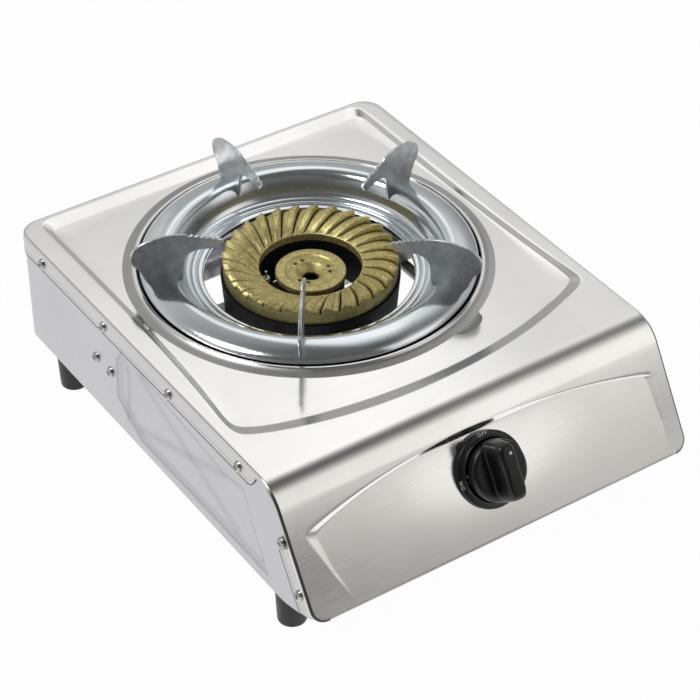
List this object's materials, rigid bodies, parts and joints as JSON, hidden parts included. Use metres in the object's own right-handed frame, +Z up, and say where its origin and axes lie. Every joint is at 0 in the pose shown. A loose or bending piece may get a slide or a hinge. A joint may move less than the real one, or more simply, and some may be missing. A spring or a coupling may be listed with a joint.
{
  "type": "gas stove",
  "caption": "Table-top gas stove: folded steel housing, lift-off ring with upright fins for the pan, cast burner with loose caps, and a push-and-turn knob on a sloped front.",
  "frame": {"origin": "middle of the footprint, on the floor under the feet", "axes": "+Z up, +Y towards the rear hose inlet, +X to the right as seen by someone facing the knob"},
  "size_m": [0.294, 0.4064, 0.1458],
  "materials": {
    "cover_steel": "polished stainless sheet, near mirror on top and satin on the front slope",
    "panel_steel": "satin stainless sheet",
    "zinc_steel": "zinc-plated steel",
    "screw_steel": "plated steel",
    "foot_rubber": "matt black",
    "ring_chrome": "polished chrome plate",
    "fin_metal": "grainy grey plating",
    "burner_iron": "matt black heat-proof paint",
    "cap_brass": "cast brass with a fine speckle",
    "igniter_glaze": "glazed white ceramic",
    "lead_cover": "silicone cover",
    "piezo_plastic": "moulded",
    "valve_alloy": "die-cast, as cast",
    "fitting_brass": "turned",
    "spindle_steel": "turned",
    "pipe_metal": "drawn tube",
    "dial_plastic": "black with pale lettering",
    "knob_plastic": "black"
  },
  "bodies": {
    "stove": {"top_cover": "cover_steel", "side_panel_left": "panel_steel", "side_panel_right": "panel_steel", "rear_panel": "panel_steel", "burner_bracket": "zinc_steel", "valve_bracket": "zinc_steel", "spindle_spring": "zinc_steel", "igniter_pin": "zinc_steel", "cover_screws": "screw_steel", "bracket_screws": "screw_steel", "rear_screws": "screw_steel", "burner_screws": "screw_steel", "foot_screws": "screw_steel", "valve_screws": "screw_steel", "leg_screw": "screw_steel", "foot_front_left": "foot_rubber", "foot_front_right": "foot_rubber", "foot_rear_left": "foot_rubber", "foot_rear_right": "foot_rubber", "burner_body": "burner_iron", "igniter_ceramic": "igniter_glaze", "igniter_lead": "lead_cover", "piezo_igniter": "piezo_plastic", "gas_valve": "valve_alloy", "valve_cap": "valve_alloy", "nozzle_ring": "fitting_brass", "nozzle_centre": "fitting_brass", "pipe_nuts": "fitting_brass", "inlet_nipple": "fitting_brass", "inlet_nut": "fitting_brass", "feed_pipe": "pipe_metal", "dial_ring": "dial_plastic"},
    "pan_support": {"pan_ring": "ring_chrome", "pan_fin_1": "fin_metal", "pan_fin_2": "fin_metal", "pan_fin_3": "fin_metal", "pan_fin_4": "fin_metal", "pan_fin_5": "fin_metal"},
    "ring_cap": {"burner_cap_ring": "cap_brass"},
    "centre_cap": {"burner_cap_centre": "cap_brass"},
    "push_washer": {"spring_washer": "zinc_steel"},
    "knob": {"knob": "knob_plastic", "valve_spindle": "spindle_steel"},
    "plug": {"valve_plug": "fitting_brass"},
    "ring_shutter": {"air_shutter_ring": "zinc_steel"},
    "centre_shutter": {"air_shutter_centre": "zinc_steel"}
  },
  "joints": [
    {"name": "pan_support_lift", "type": "slide", "parent": "stove", "child": "pan_support", "axis": [0, 0, 1], "range_m": [0, 0.06]},
    {"name": "ring_cap_lift", "type": "slide", "parent": "stove", "child": "ring_cap", "axis": [0, 0, 1], "range_m": [0, 0.012]},
    {"name": "centre_cap_lift", "type": "slide", "parent": "stove", "child": "centre_cap", "axis": [0, 0, 1], "range_m": [0, 0.04]},
    {"name": "knob_push", "type": "slide", "parent": "stove", "child": "push_washer", "axis": [0, 0.846, -0.5331], "range_m": [0, 0.003], "stiffness_N_per_m": 1500, "springref_m": -0.003, "deforming": ["spindle_spring"]},
    {"name": "knob_turn", "type": "hinge", "parent": "push_washer", "child": "knob", "pos_m": [0, -0.17077, 0.07093], "axis": [0, -0.846, 0.5331], "range_deg": [0, 180]},
    {"name": "plug_turn", "type": "hinge", "parent": "stove", "child": "plug", "pos_m": [0, -0.17077, 0.07093], "axis": [0, -0.846, 0.5331], "range_deg": [0, 180]},
    {"name": "ring_shutter_turn", "type": "hinge", "parent": "stove", "child": "ring_shutter", "pos_m": [0.017, -0.10728, 0.06], "axis": [0, 1, 0], "range_deg": [-35, 35]},
    {"name": "centre_shutter_turn", "type": "hinge", "parent": "stove", "child": "centre_shutter", "pos_m": [-0.013, -0.10728, 0.06], "axis": [0, 1, 0], "range_deg": [-35, 35]}
  ],
  "couplings": [
    {"joint": "plug_turn", "follows": "knob_turn", "ratio": 1}
  ]
}
